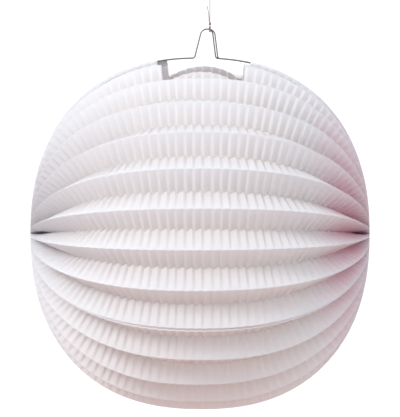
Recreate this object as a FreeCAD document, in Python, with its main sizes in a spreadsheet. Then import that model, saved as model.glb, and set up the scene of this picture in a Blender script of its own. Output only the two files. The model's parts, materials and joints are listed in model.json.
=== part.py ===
import FreeCAD, Part
import Sketcher
import math
import os

# A round accordion paper lantern, hung by a thread from two nested wire hooks.
# All sizes are in millimetres. +Z is up, -Y is the front, and the fold axis runs along X through
# the two poles. The origin is the hanging point, at the inside top of the thread's loop.

SIZES = [
    ("ball_width", 240.0, "paper ball, pole to pole along X"),
    ("ball_height", 250.0, "paper ball across its ridges"),
    ("roundness", 2.3, "exponent of the ball's outline, 2 being an ellipse"),
    ("pleat_count", 28, "folds round the whole ball, from wire to wire"),
    ("leaf_width", 17.0, "paper from a ridge to the next valley"),
    ("paper_wall", 0.3, "thickness taken up by the crimped paper"),
    ("fold_clearance", 0.12, "air from each pleat to its valley plane"),
    ("hub_bore", 12.5, "radius round the pole axis left free by the leaves"),
    ("hub_clearance", 0.5, "air between the leaves' bore and the gathered hub"),
    ("bore_margin", 1.25, "how far outside the bore the hems stop, and inside it the paper is cut"),
    ("wire_diameter", 1.0, "steel wire of both frames"),
    ("front_wire_inset", 1.9, "front wire's centre inside the pole, along X"),
    ("back_wire_inset", 0.7, "back wire's centre inside the pole, along X"),
    ("hem_wall", 0.25, "paper folded round the wire"),
    ("glue_clearance", 0.05, "air between the hem and its leaf"),
    ("sleeve_clearance", 0.02, "air between the wire and its hem"),
    ("hem_gap", 0.26, "air between the front hem and the back hem"),
    ("hook_height", 20.4, "hook crown above the ball's top wire"),
    ("hook_centre", 5.7, "middle of the hook's crown, from the ball's middle along X"),
    ("hook_crown", 8.8, "hook width at the crown, corner to corner"),
    ("foot_centre", 4.4, "middle of the hook's feet, from the ball's middle along X"),
    ("hook_foot", 16.5, "hook width at its feet, corner to corner"),
    ("hook_nest", 1.5, "how much narrower the back hook is, at its right leg"),
    ("crown_bend", 4.6, "bend radius at the crown"),
    ("foot_bend", 2.0, "bend radius at the feet"),
    ("notch_left", 33.0, "top opening, from the ball's middle to its left end at the wire"),
    ("notch_right", 36.0, "top opening, from the ball's middle to its right end at the wire"),
    ("notch_taper", 6.0, "how much each end of the opening comes in at its far edge"),
    ("back_notch_left", 23.5, "the opening's left end behind the wires, at the wire"),
    ("back_notch_taper", 1.0, "how much that end comes in at its far edge"),
    ("notch_reach", 0.943409, "top opening's far edge at its ends, as a share of the way to the valley"),
    ("notch_rise", 0.0368, "how much nearer the edge is in its middle, as a share of half_height"),
    ("seam_pleat", 9, "ridge that carries the glued seam, counted from each wire"),
    ("seam_width", 2.8, "lip of the glued seam"),
    ("seam_wall", 0.25, "thickness of the lip's edge"),
    ("seam_start", 0.8, "where the lip starts, as a share of the ball's half height"),
    ("pin_diameter", 1.2, "wire pin through each pole"),
    ("pin_clearance", 0.15, "air between the pin and the wire eyes"),
    ("pin_head_diameter", 2.6, "flattened head of the pin"),
    ("pin_head_wall", 0.3, "thickness of the pin's heads"),
    ("thread_diameter", 0.6, "hanging thread"),
    ("thread_run", 24.0, "straight thread between its two knots"),
    ("thread_from_middle", 7.0, "thread's line, from the ball's middle along X"),
    ("wrap_width", 1.2, "two turns of thread round the hook crowns"),
    ("wrap_clearance", 0.45, "air between the wires and the turns of thread"),
    ("knot_diameter", 2.0, "both knots"),
    ("knot_height", 2.2, "both knots"),
    ("knot_end", 1.8, "width of a knot's flat ends"),
    ("knot_shoulder", 0.66, "height of a knot's tapered ends"),
    ("loop_height", 9.5, "loop's inside top above its knot"),
]

# The cut tail's corners, from the knot on the hooks: along X, along Y and upwards.
TAIL_ROUTE = [(-0.6, 0, 0), (-0.6, 0, 2.6), (-1.0, -0.4, 7.0), (-1.9, -0.5, 11.5)]

# The loop's corners on its right half, from its knot: along X, and up from the hanging point.
LOOP_ROUTE = [(0.45, -9.5), (0.45, -7.2), (3.0, -3.6), (2.3, 0.3)]

STATIONS = 41  # points along each rail of the paper, from pole to pole
TANGENT_SHARE = 0.45  # length of a cord's bend, as a share of its shorter run

document = FreeCAD.newDocument("lantern")
sheet = document.addObject("Spreadsheet::Sheet", "sizes")
for row, (alias, value, meaning) in enumerate(SIZES, start=1):
    sheet.set(f"A{row}", meaning)
    sheet.set(f"B{row}", str(value))
    sheet.setAlias(f"B{row}", alias)
document.recompute()


def size(alias):
    """One driving dimension, as a plain number."""
    return float(sheet.get(alias))


half_width = size("ball_width") / 2
half_height = size("ball_height") / 2
pleat_count = int(size("pleat_count"))
wire_radius = size("wire_diameter") / 2
hem_radius = wire_radius + size("sleeve_clearance") + size("hem_wall")
wire_top = half_height - hem_radius  # the wire's centre line, above the ball's middle
wire_half_spacing = hem_radius + size("hem_gap") / 2
first_angle = math.degrees(math.asin(wire_half_spacing / half_height))
pleat_angle = (360 - 2 * first_angle) / pleat_count
half_pleat = math.radians(pleat_angle / 2)

# Heights, from the hanging point downwards.
loop_knot_top = -size("loop_height")
thread_top = loop_knot_top - size("knot_height")
thread_bottom = thread_top - size("thread_run")
wrap_inner = wire_half_spacing + wire_radius + size("wrap_clearance")
wrap_outer = wrap_inner + size("thread_diameter")
crown_level = thread_bottom - size("knot_height") - wrap_outer
middle = FreeCAD.Vector(
    -size("thread_from_middle"), 0, crown_level - size("hook_height") - wire_top
)
X_AXIS = FreeCAD.Vector(1, 0, 0)
Y_AXIS = FreeCAD.Vector(0, 1, 0)
Z_AXIS = FreeCAD.Vector(0, 0, 1)


def turned(degrees):
    """Placement at the ball's middle, turned about the pole axis from the top towards the front."""
    return FreeCAD.Placement(middle, FreeCAD.Rotation(X_AXIS, degrees))


def add_shape(label, shape, placement=None):
    """A Part::Feature that holds a shape worked out here, then placed."""
    feature = document.addObject("Part::Feature", label)
    feature.Label = label
    feature.Shape = shape
    feature.Placement = (placement or FreeCAD.Placement()) * shape.Placement
    return feature


# ---- The outline and the paper -------------------------------------------------------------


def outline_point(turn, across, up):
    """Point and outward normal of the ball's outline, in the XZ plane.

    The outline is a superellipse: turn runs from 0 at the left pole to pi at the right pole.
    """
    power = 2 / size("roundness")
    sideways = math.copysign(abs(math.cos(turn)) ** power, -math.cos(turn))
    height = math.sin(turn) ** power
    steep = size("roundness") - 1
    normal = FreeCAD.Vector(
        math.copysign(abs(sideways) ** steep / across, sideways), 0, height**steep / up
    )
    return FreeCAD.Vector(across * sideways, 0, up * height), normal.normalize()


def turn_at_height(height, up):
    """The outline's turn, on the left side, where it is this far from the pole axis."""
    return math.asin((height / up) ** (size("roundness") / 2))


def turn_at_side(side, across):
    """The outline's turn where it is this far from the ball's middle along X."""
    return math.acos(math.copysign(abs(side / across) ** (size("roundness") / 2), -side))


def spaced(first, last, count):
    """Evenly spaced numbers from first to last."""
    return [first + (last - first) * step / (count - 1) for step in range(count)]


def ridge_and_valley(turn):
    """A ridge point, and the middle of the two valley points that face it across the pleat.

    The leaf keeps its width, so it is pulled out deeper where the ridges stand closer.
    """
    ridge, normal = outline_point(turn, half_width, half_height)
    spread = ridge.z * half_pleat
    depth = math.sqrt(size("leaf_width") ** 2 - spread**2)
    valley = ridge - normal * depth
    half_gap = valley.z * math.sin(half_pleat) - size("fold_clearance")
    valley.z *= math.cos(half_pleat)
    return ridge, valley, half_gap


def solid_from_sections(sections):
    """A closed solid from matching rings of corners, with a smooth rail through each corner."""
    rails = []
    for corner in range(len(sections[0])):
        curve = Part.BSplineCurve()
        curve.interpolate([section[corner] for section in sections])
        rails.append(curve.toShape())
    faces = []
    for corner, rail in enumerate(rails):
        faces.append(Part.makeRuledSurface(rails[corner - 1], rail))
    for section in (sections[0], sections[-1]):
        faces.append(Part.Face(Part.makePolygon(section + section[:1])))
    shell = Part.Shell(faces)
    shell.sewShape()
    solid = Part.Solid(Part.Shell(shell.Faces))
    if solid.Volume < 0:
        solid.reverse()
    return solid


def pleat_section(turn):
    """The six corners of one pleat: a ridge and two leaves, with the paper's thickness."""
    ridge, valley, half_gap = ridge_and_valley(turn)
    inwards = valley - ridge
    depth = inwards.Length
    inwards.normalize()
    lean = math.atan2(half_gap, depth)
    inner_gap = half_gap - size("paper_wall") / math.cos(lean)
    inner_ridge = ridge + inwards * (size("paper_wall") / math.sin(lean))
    return [
        ridge,
        valley - Y_AXIS * half_gap,
        valley - Y_AXIS * inner_gap,
        inner_ridge,
        valley + Y_AXIS * inner_gap,
        valley + Y_AXIS * half_gap,
    ]


def hub_cutter(radius):
    """A cylinder round the pole axis, longer than the ball."""
    return Part.makeCylinder(
        radius, 2 * size("ball_width"), FreeCAD.Vector(-size("ball_width"), 0, 0), X_AXIS
    )


def pleat_blank():
    """One whole pleat, with its ridge straight up, cut back round the pole axis."""
    start = turn_at_height(size("hub_bore") - size("bore_margin"), half_height)
    turns = spaced(start, math.pi - start, STATIONS)
    blank = solid_from_sections([pleat_section(turn) for turn in turns])
    return blank.cut(hub_cutter(size("hub_bore"))).Solids[0]


def end_leaf(side, inset):
    """The single leaf between a wire and the first valley; side is -1 at the front, 1 at the back."""
    across = half_width - inset
    start = turn_at_height(size("hub_bore") - size("bore_margin"), half_height)
    sections = []
    for turn in spaced(start, math.pi - start, STATIONS):
        wire, normal = outline_point(turn, across, wire_top)
        edge = wire - normal * (hem_radius + size("glue_clearance"))
        edge.y = side * wire_half_spacing
        _, valley, half_gap = ridge_and_valley(turn)
        reach = side * half_gap
        swung = FreeCAD.Rotation(X_AXIS, -side * first_angle).multVec(valley + Y_AXIS * reach)
        lean = math.atan2(half_gap, (valley - wire).Length)
        wall = Y_AXIS * (side * size("paper_wall") / math.cos(lean))
        sections.append([edge, edge + wall, swung, swung - wall])
    return solid_from_sections(sections).cut(hub_cutter(size("hub_bore")))


def notch_cutter():
    """The top opening: a straight-up prism on a plan with tapered ends and two hollow edges.

    Behind the wires its left end stands further in, so a strip of the back leaf shows there.
    """
    left, back_left, right = -size("notch_left"), -size("back_notch_left"), size("notch_right")
    taper = size("notch_taper")
    depth = math.sqrt(size("leaf_width") ** 2 - (half_height * half_pleat) ** 2)
    second_valley = math.radians(first_angle + 1.5 * pleat_angle)
    reach = size("notch_reach") * (half_height - depth) * math.sin(second_valley)
    rise = size("notch_rise") * half_height
    corners = [
        FreeCAD.Vector(left, 0, 0),
        FreeCAD.Vector(left + taper, -reach, 0),
        FreeCAD.Vector(right - taper, -reach, 0),
        FreeCAD.Vector(right, 0, 0),
        FreeCAD.Vector(right - taper, reach, 0),
        FreeCAD.Vector(back_left + size("back_notch_taper"), reach, 0),
        FreeCAD.Vector(back_left, 0, 0),
    ]
    nearer = FreeCAD.Vector((left + right) / 2, -(reach - rise), 0)
    further = FreeCAD.Vector((left + right) / 2, reach - rise, 0)
    edges = [
        Part.makeLine(corners[0], corners[1]),
        Part.Arc(corners[1], nearer, corners[2]).toShape(),
        Part.makeLine(corners[2], corners[3]),
        Part.makeLine(corners[3], corners[4]),
        Part.Arc(corners[4], further, corners[5]).toShape(),
        Part.makeLine(corners[5], corners[6]),
        Part.makeLine(corners[6], corners[0]),
    ]
    return Part.Face(Part.Wire(edges)).extrude(Z_AXIS * size("ball_height"))


def seam_section(turn):
    """Three corners of the seam's lip: it leaves the ridge and stands off the leaf below."""
    ridge, normal = outline_point(turn, half_width, half_height)
    share = math.sin(turn) ** 2
    angle = math.degrees(size("seam_width") * share / ridge.z)
    lower = FreeCAD.Rotation(X_AXIS, angle).multVec(ridge)
    outer = lower - normal * size("seam_wall")
    return [ridge, outer, outer - normal * size("seam_wall")]


def seam_lip():
    """The raw edge of one sheet, glued over the next sheet's first fold."""
    start = turn_at_height(size("seam_start") * half_height, half_height)
    turns = spaced(start, math.pi - start, STATIONS)
    return solid_from_sections([seam_section(turn) for turn in turns])


# ---- The wire frames and their hems --------------------------------------------------------


def rounded_edges(corners, radii):
    """Straight runs joined by tangent arcs; radii has one value for each inner corner."""
    edges = []
    last = corners[0]
    for before, corner, after, radius in zip(corners, corners[1:], corners[2:], radii):
        back = (before - corner).normalize()
        ahead = (after - corner).normalize()
        half_turn = (math.pi - back.getAngle(ahead)) / 2
        length = radius * math.tan(half_turn)
        first = corner + back * length
        final = corner + ahead * length
        apex = corner + (back + ahead).normalize() * (radius / math.cos(half_turn) - radius)
        edges.append(Part.LineSegment(last, first).toShape())
        edges.append(Part.Arc(first, apex, final).toShape())
        last = final
    edges.append(Part.LineSegment(last, corners[-1]).toShape())
    return edges


def outline_edge(first_turn, last_turn, across):
    """One smooth edge along a wire's outline, with true tangents at both ends."""
    points = []
    for turn in spaced(first_turn, last_turn, STATIONS):
        points.append(outline_point(turn, across, wire_top)[0])
    ends = []
    for turn in (first_turn, last_turn):
        normal = outline_point(turn, across, wire_top)[1]
        ends.append(FreeCAD.Vector(normal.z, 0, -normal.x))
    curve = Part.BSplineCurve()
    curve.interpolate(Points=points, InitialTangent=ends[0], FinalTangent=ends[1])
    return curve.toShape()


def wire_frame(label, side, inset, right_leg_inset):
    """One wire: an eye at each pole, the rim in between, and a hook at its top."""
    across = half_width - inset
    eye_radius = size("pin_diameter") / 2 + size("pin_clearance") + wire_radius
    foot_run = size("foot_bend") + size("wire_diameter")
    crown_middle = size("hook_centre")
    crown_left = crown_middle - size("hook_crown") / 2
    crown_right = crown_middle + size("hook_crown") / 2 - right_leg_inset
    foot_left = size("foot_centre") - size("hook_foot") / 2
    foot_right = foot_left + size("hook_foot") - right_leg_inset
    turn_left = turn_at_side(foot_left - foot_run, across)
    turn_right = turn_at_side(foot_right + foot_run, across)
    start, normal = outline_point(turn_left, across, wire_top)
    finish, last_normal = outline_point(turn_right, across, wire_top)
    crown = wire_top + size("hook_height")
    corners = [
        start,
        start + FreeCAD.Vector(1, 0, -normal.x / normal.z) * foot_run,
        FreeCAD.Vector(crown_left, 0, crown),
        FreeCAD.Vector(crown_right, 0, crown),
        finish + FreeCAD.Vector(-1, 0, last_normal.x / last_normal.z) * foot_run,
        finish,
    ]
    bends = [size("foot_bend"), size("crown_bend"), size("crown_bend") - right_leg_inset / 2]
    end_turn = turn_at_height(eye_radius, wire_top)
    edges = [outline_edge(end_turn, turn_left, across)]
    edges += rounded_edges(corners, bends + [size("foot_bend")])
    edges += [outline_edge(turn_right, math.pi - end_turn, across)]
    path = Part.Wire(edges)
    begin = outline_point(end_turn, across, wire_top)[0]
    section = Part.Wire(Part.makeCircle(wire_radius, begin, Z_AXIS))
    rod = path.makePipeShell([section], True, True)
    offset = Y_AXIS * (side * wire_half_spacing)
    rod.translate(offset)
    eyes = []
    for end in (-1, 1):
        eyes.append(Part.makeTorus(eye_radius, wire_radius, X_AXIS * (end * across), X_AXIS))
    whole = rod.multiFuse(eyes).removeSplitter()
    return add_shape(label, whole, turned(0))


def hem(label, side, inset, end, opening):
    """The strip of paper folded round a wire, from near one pole to the opening's end.

    end is -1 at the left pole and 1 at the right pole, whose hem is made on the left and mirrored.
    """
    across = half_width - inset
    foot_turn = turn_at_height(size("hub_bore") + size("bore_margin"), wire_top)
    path = Part.Wire([outline_edge(foot_turn, turn_at_side(-opening, across), across)])
    begin, normal = outline_point(foot_turn, across, wire_top)
    along = FreeCAD.Vector(normal.z, 0, -normal.x)
    outer = Part.Wire(Part.makeCircle(hem_radius, begin, along))
    inner = Part.Wire(Part.makeCircle(wire_radius + size("sleeve_clearance"), begin, along))
    ring = Part.makeFace([outer, inner], "Part::FaceMakerBullseye")
    sleeve = path.makePipe(ring)
    if end > 0:
        sleeve = sleeve.mirror(FreeCAD.Vector(), X_AXIS)
    sleeve.translate(Y_AXIS * (side * wire_half_spacing))
    return add_shape(label, sleeve, turned(0))


# ---- The poles and the thread --------------------------------------------------------------


def turned_body(label, corners, placement):
    """A PartDesign body: one closed sketch, turned about its own vertical axis.

    Each corner is a pair of expressions on the sheet: its distance from the axis, where None
    means on the axis, and its height, where None means level with the sketch's origin.
    """
    body = document.addObject("PartDesign::Body", label)
    body.Label = label
    plane = next(feature for feature in body.Origin.OriginFeatures if feature.Role == "XZ_Plane")
    sketch = body.newObject("Sketcher::SketchObject", label + "_outline")
    sketch.AttachmentSupport = [(plane, "")]
    sketch.MapMode = "FlatFace"
    points = []
    for across, up in corners:
        points.append(FreeCAD.Vector(cell_value(across), cell_value(up), 0))
    lines = list(zip(points, points[1:] + points[:1]))
    for first, second in lines:
        sketch.addGeometry(Part.LineSegment(first, second), False)
    for number in range(len(lines)):
        following = (number + 1) % len(lines)
        sketch.addConstraint(Sketcher.Constraint("Coincident", number, 2, following, 1))
    for number, (across, up) in enumerate(corners):
        pin_corner(sketch, number, "DistanceX", points[number].x, across)
        pin_corner(sketch, number, "DistanceY", points[number].y, up)
    turning = body.newObject("PartDesign::Revolution", label + "_turning")
    turning.Profile = sketch
    turning.ReferenceAxis = (sketch, ["V_Axis"])
    turning.Angle = 360.0
    body.Placement = placement
    return body


def cell_value(expression):
    """The number that an expression on the sheet stands for now; None stands for 0."""
    if expression is None:
        return 0.0
    return float(sheet.evalExpression(expression.replace("sizes.", "")))


def pin_corner(sketch, number, kind, value, expression):
    """Hold one corner of a sketch at a distance bound to the sheet, or on an axis."""
    if expression is None:
        axis = -2 if kind == "DistanceX" else -1
        sketch.addConstraint(Sketcher.Constraint("PointOnObject", number, 1, axis))
        return
    place = sketch.addConstraint(Sketcher.Constraint(kind, -1, 1, number, 1, value))
    sketch.setExpression(f"Constraints[{place}]", expression)


def pole_pin(label, end):
    """The wire pin that stitches the leaf ends together at one pole, with a head at each end."""
    head = "sizes.pin_head_diameter / 2"
    shank = "sizes.pin_diameter / 2"
    inner = "sizes.pin_head_wall"
    outer = "sizes.leaf_width + 2 * sizes.pin_head_wall"
    top = "sizes.leaf_width + 3 * sizes.pin_head_wall"
    corners = [(None, None), (head, None), (head, inner), (shank, inner)]
    corners += [(shank, outer), (head, outer), (head, top), (None, top)]
    towards_pole = FreeCAD.Rotation(Z_AXIS, X_AXIS * end)
    base = half_width - size("leaf_width") - 2 * size("pin_head_wall")
    return turned_body(label, corners, FreeCAD.Placement(middle + X_AXIS * (end * base), towards_pole))


def pole_hub(label, end):
    """The leaf ends where they are gathered and glued round the pin, inside the leaves' bore."""
    radius = "sizes.hub_bore - sizes.hub_clearance"
    bore = "sizes.pin_diameter / 2 + sizes.sleeve_clearance"
    length = "sizes.leaf_width - sizes.front_wire_inset - sizes.wire_diameter"
    corners = [(bore, None), (radius, None), (radius, length), (bore, length)]
    towards_pole = FreeCAD.Rotation(Z_AXIS, X_AXIS * end)
    base = half_width - size("leaf_width")
    return turned_body(label, corners, FreeCAD.Placement(middle + X_AXIS * (end * base), towards_pole))


def knot(label, bottom):
    """A small hard knot: a barrel with flat ends on the thread's line."""
    end = "sizes.knot_end / 2"
    belly = "sizes.knot_diameter / 2"
    corners = [(None, None), (end, None), (belly, "sizes.knot_shoulder")]
    corners += [(belly, "sizes.knot_height - sizes.knot_shoulder"), (end, "sizes.knot_height")]
    corners += [(None, "sizes.knot_height")]
    return turned_body(label, corners, FreeCAD.Placement(Z_AXIS * bottom, FreeCAD.Rotation()))


def hook_wrap(label):
    """Two turns of thread round both hook crowns, as one short tube along X."""
    outer = document.addObject("Part::Cylinder", label + "_outside")
    inner = document.addObject("Part::Cylinder", label + "_inside")
    hems = "sizes.wire_diameter + sizes.sleeve_clearance + sizes.hem_wall + sizes.hem_gap / 2"
    wires = hems + " + sizes.wrap_clearance"
    outer.setExpression("Radius", wires + " + sizes.thread_diameter")
    inner.setExpression("Radius", wires)
    outer.setExpression("Height", "sizes.wrap_width")
    inner.setExpression("Height", "sizes.wrap_width")
    sideways = FreeCAD.Rotation(Z_AXIS, X_AXIS)
    for cylinder in (outer, inner):
        base = FreeCAD.Vector(-size("wrap_width") / 2, 0, crown_level)
        cylinder.Placement = FreeCAD.Placement(base, sideways)
    wrap = document.addObject("Part::Cut", label)
    wrap.Base = outer
    wrap.Tool = inner
    wrap.Label = label
    return wrap


def cord(label, points):
    """A plain tube along a cord's route: straight runs joined by the largest tangent arcs."""
    runs = [(second - first).Length for first, second in zip(points, points[1:])]
    radii = []
    length = sum(runs)
    for before, corner, after, run in zip(points, points[1:], points[2:], zip(runs, runs[1:])):
        half_turn = (corner - before).getAngle(after - corner) / 2
        radius = TANGENT_SHARE * min(run) / math.tan(half_turn)
        radii.append(radius)
        length += radius * (2 * half_turn - 2 * math.tan(half_turn))
    edges = rounded_edges(points, radii) if radii else [Part.makeLine(points[0], points[1])]
    section = Part.Wire(
        Part.makeCircle(size("thread_diameter") / 2, points[0], points[1] - points[0])
    )
    tube = Part.Wire(edges).makePipeShell([section], True, True)
    expected = math.pi * size("thread_diameter") ** 2 / 4 * length
    print(label, "bends", [round(radius, 2) for radius in radii], "length", round(length, 2))
    print(label, "volume", round(tube.Volume, 3), "expected", round(expected, 3))
    return add_shape(label, tube)


# ---- The assembly --------------------------------------------------------------------------

parts = []
notch = notch_cutter()
blank = pleat_blank()
for number in range(1, pleat_count):
    angle = first_angle + number * pleat_angle
    label = f"pleat_{number:02d}"
    if number in (1, pleat_count - 1):
        opened = blank.rotated(FreeCAD.Vector(), X_AXIS, angle).cut(notch)
        parts.append(add_shape(label, opened, turned(0)))
    else:
        parts.append(add_shape(label, blank.copy(), turned(angle)))

lip = seam_lip()
seam_number = int(size("seam_pleat"))
seams = {"seam_front": seam_number, "seam_back": pleat_count - seam_number}
for label, number in seams.items():
    placement = turned(first_angle + number * pleat_angle)
    parts.append(add_shape(label, lip.copy(), placement))

frames = (
    ("front", -1, size("front_wire_inset"), 0.0, size("notch_left")),
    ("back", 1, size("back_wire_inset"), size("hook_nest"), size("back_notch_left")),
)
for name, side, inset, right_leg_inset, left_end in frames:
    parts.append(wire_frame(f"{name}_wire", side, inset, right_leg_inset))
    parts.append(hem(f"{name}_hem_left", side, inset, -1, left_end))
    parts.append(hem(f"{name}_hem_right", side, inset, 1, size("notch_right")))
    halves = sorted(end_leaf(side, inset).cut(notch).Solids, key=lambda half: half.CenterOfMass.x)
    parts.append(add_shape(f"{name}_leaf_left", halves[0], turned(0)))
    parts.append(add_shape(f"{name}_leaf_right", halves[-1], turned(0)))

for name, end in (("left", -1), ("right", 1)):
    parts.append(pole_hub(f"pole_hub_{name}", end))
    parts.append(pole_pin(f"pole_pin_{name}", end))

parts.append(hook_wrap("hook_wrap"))
parts.append(knot("hook_knot", thread_bottom - size("knot_height")))
parts.append(knot("loop_knot", thread_top))
parts.append(cord("thread", [Z_AXIS * thread_bottom, Z_AXIS * thread_top]))
tail = [FreeCAD.Vector(x, y, z + thread_bottom) for x, y, z in TAIL_ROUTE]
parts.append(cord("thread_tail", tail))
loop = [FreeCAD.Vector(x, 0, z) for x, z in LOOP_ROUTE]
loop += [FreeCAD.Vector(-x, 0, z) for x, z in reversed(LOOP_ROUTE)]
parts.append(cord("thread_loop", loop))

document.recompute()
for item in document.Objects:
    if "Invalid" in item.State or "Error" in item.State:
        raise RuntimeError(f"{item.Label} did not build: {item.State}")
for part in parts:
    if part.Shape.isNull() or not part.Shape.isValid():
        raise RuntimeError(f"{part.Label} has no valid shape")
os.makedirs("parts", exist_ok=True)
for part in parts:
    part.Shape.exportStep(f"parts/{part.Label}.step")
print(len(parts), "pieces written")
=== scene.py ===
"""The looks of a white accordion paper lantern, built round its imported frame.

The paper ball, its hems and seams, the gathered poles and the hanging thread are meshes worked out
here. The two hook wires and the pole pins are the frame's own pieces, with a better finish.
All lengths are in metres. +Z is up, -Y is the front and the pole axis runs along X.
"""

import json
import logging
import math
from collections.abc import Mapping, Sequence
from dataclasses import dataclass, field
from enum import Enum
from functools import cached_property
from typing import Any

import bpy
import numpy as np
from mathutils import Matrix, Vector


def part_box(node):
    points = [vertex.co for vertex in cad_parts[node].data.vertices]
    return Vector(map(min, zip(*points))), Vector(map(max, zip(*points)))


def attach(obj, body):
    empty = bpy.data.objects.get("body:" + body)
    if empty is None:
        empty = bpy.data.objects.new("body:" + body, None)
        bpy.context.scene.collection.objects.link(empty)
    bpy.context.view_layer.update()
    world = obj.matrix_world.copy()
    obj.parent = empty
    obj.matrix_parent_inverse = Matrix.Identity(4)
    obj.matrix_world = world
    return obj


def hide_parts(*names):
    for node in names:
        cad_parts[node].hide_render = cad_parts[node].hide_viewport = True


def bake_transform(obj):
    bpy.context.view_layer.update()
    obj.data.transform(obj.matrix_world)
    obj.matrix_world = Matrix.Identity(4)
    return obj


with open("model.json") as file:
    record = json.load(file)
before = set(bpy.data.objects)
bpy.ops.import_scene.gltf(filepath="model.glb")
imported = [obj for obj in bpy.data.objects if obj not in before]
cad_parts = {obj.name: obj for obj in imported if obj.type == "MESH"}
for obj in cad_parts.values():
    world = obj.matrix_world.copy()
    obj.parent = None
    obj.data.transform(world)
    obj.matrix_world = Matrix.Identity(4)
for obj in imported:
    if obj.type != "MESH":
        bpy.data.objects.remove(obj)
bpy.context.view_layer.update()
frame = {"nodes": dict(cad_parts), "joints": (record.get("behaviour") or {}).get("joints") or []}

TAU = 2 * math.pi

log = logging.getLogger("lantern")


class Side(Enum):
    """Which of the two wire frames a piece belongs to, as the sign of its Y."""

    FRONT = -1
    BACK = 1


class End(Enum):
    """Which pole a piece runs to, as the sign of its X."""

    LEFT = -1
    RIGHT = 1


# ---- Meshes --------------------------------------------------------------------------------


def smoothstep(low: float, high: float, value: np.ndarray) -> np.ndarray:
    """An S-shaped rise from 0 at low to 1 at high.

    Args:
        low: where the rise starts.
        high: where it ends.
        value: the places asked for.

    Returns:
        3t^2 - 2t^3, with t the share of the way from low to high.
    """
    share = np.clip((value - low) / (high - low), 0, 1)
    return share * share * (3 - 2 * share)


def grid_quads(
    rows: int, columns: int, round_rows: bool = False, round_columns: bool = False
) -> np.ndarray:
    """The four-cornered faces of a grid whose points are numbered row by row.

    Args:
        rows: how many rows of points.
        columns: how many points in a row.
        round_rows: whether the last row joins the first.
        round_columns: whether a row's last point joins its first.

    Returns:
        One row of four point numbers for each face.
    """
    row = np.arange(rows if round_rows else rows - 1)[:, None]
    column = np.arange(columns if round_columns else columns - 1)[None, :]
    next_row = (row + 1) % rows
    next_column = (column + 1) % columns
    corners = (
        row * columns + column,
        row * columns + next_column,
        next_row * columns + next_column,
        next_row * columns + column,
    )
    return np.stack(corners, axis=-1).reshape(-1, 4)


def mesh_piece(
    name: str, points: np.ndarray, quads: np.ndarray, material: bpy.types.Material
) -> bpy.types.Object:
    """A smooth-shaded mesh object of quads, at the origin.

    Args:
        name: the piece's name.
        points: one row of x, y, z for each point.
        quads: one row of four point numbers for each face.
        material: the piece's finish.

    Returns:
        The object, linked to the scene.
    """
    mesh = bpy.data.meshes.new(name)
    mesh.vertices.add(len(points))
    mesh.vertices.foreach_set("co", points.astype(np.float32).ravel())
    mesh.loops.add(quads.size)
    mesh.loops.foreach_set("vertex_index", quads.astype(np.int32).ravel())
    mesh.polygons.add(len(quads))
    mesh.polygons.foreach_set("loop_start", np.arange(0, quads.size, 4, dtype=np.int32))
    mesh.polygons.foreach_set("use_smooth", np.ones(len(quads), bool))
    mesh.update(calc_edges=True)
    mesh.validate()
    mesh.materials.append(material)
    piece = bpy.data.objects.new(name, mesh)
    bpy.context.scene.collection.objects.link(piece)
    return piece


def set_points(piece: bpy.types.Object, points: np.ndarray) -> None:
    """Puts the mesh's points in new places."""
    piece.data.vertices.foreach_set("co", points.astype(np.float32).ravel())
    piece.data.update()


def set_values(piece: bpy.types.Object, name: str, values: np.ndarray) -> None:
    """Stores one number for each point of the mesh, under that name."""
    attribute = piece.data.attributes.new(name, "FLOAT", "POINT")
    attribute.data.foreach_set("value", values.astype(np.float32).ravel())


def thicken(piece: bpy.types.Object, wall: float) -> None:
    """Gives a sheet its real thickness, half on each side, with closed rims."""
    solid = piece.modifiers.new("wall", "SOLIDIFY")
    solid.thickness = wall
    solid.offset = 0.0
    solid.use_rim = True


def unit(vectors: np.ndarray) -> np.ndarray:
    """Each row of vectors at a length of 1."""
    return vectors / np.linalg.norm(vectors, axis=1, keepdims=True)


def length_along(line: np.ndarray) -> np.ndarray:
    """The length from a line's first point to each of its points."""
    return np.concatenate([[0], np.cumsum(np.linalg.norm(np.diff(line, axis=0), axis=1))])


def ring_axes(line: np.ndarray, upright: Sequence[float]) -> tuple[np.ndarray, np.ndarray]:
    """Two directions at each point of a line, square to the line and to each other.

    They are the line's tangent crossed with upright, and the tangent crossed with that, so the line
    must never run along upright.

    Args:
        line: the centre line, one row of x, y, z for each point.
        upright: a direction that the line never takes.

    Returns:
        The two directions, one row for each point.
    """
    tangent = unit(np.gradient(line, axis=0))
    first = unit(np.cross(tangent, np.asarray(upright, float)))
    return first, np.cross(tangent, first)


def tube_points(line: np.ndarray, radius: float, sides: int, upright: Sequence[float]) -> np.ndarray:
    """Rings of points round a line: each is the two ring axes times the angle's cosine and sine.

    Args:
        line: the centre line, one row of x, y, z for each point.
        radius: the tube's radius.
        sides: points in a ring.
        upright: a direction that the line never takes.

    Returns:
        An array of line points by sides by 3.
    """
    first, second = ring_axes(line, upright)
    angle = (np.arange(sides) * TAU / sides)[None, :, None]
    ring = first[:, None] * np.cos(angle) + second[:, None] * np.sin(angle)
    return line[:, None] + ring * radius


# ---- The ball's outline and its crimps -----------------------------------------------------


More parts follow.
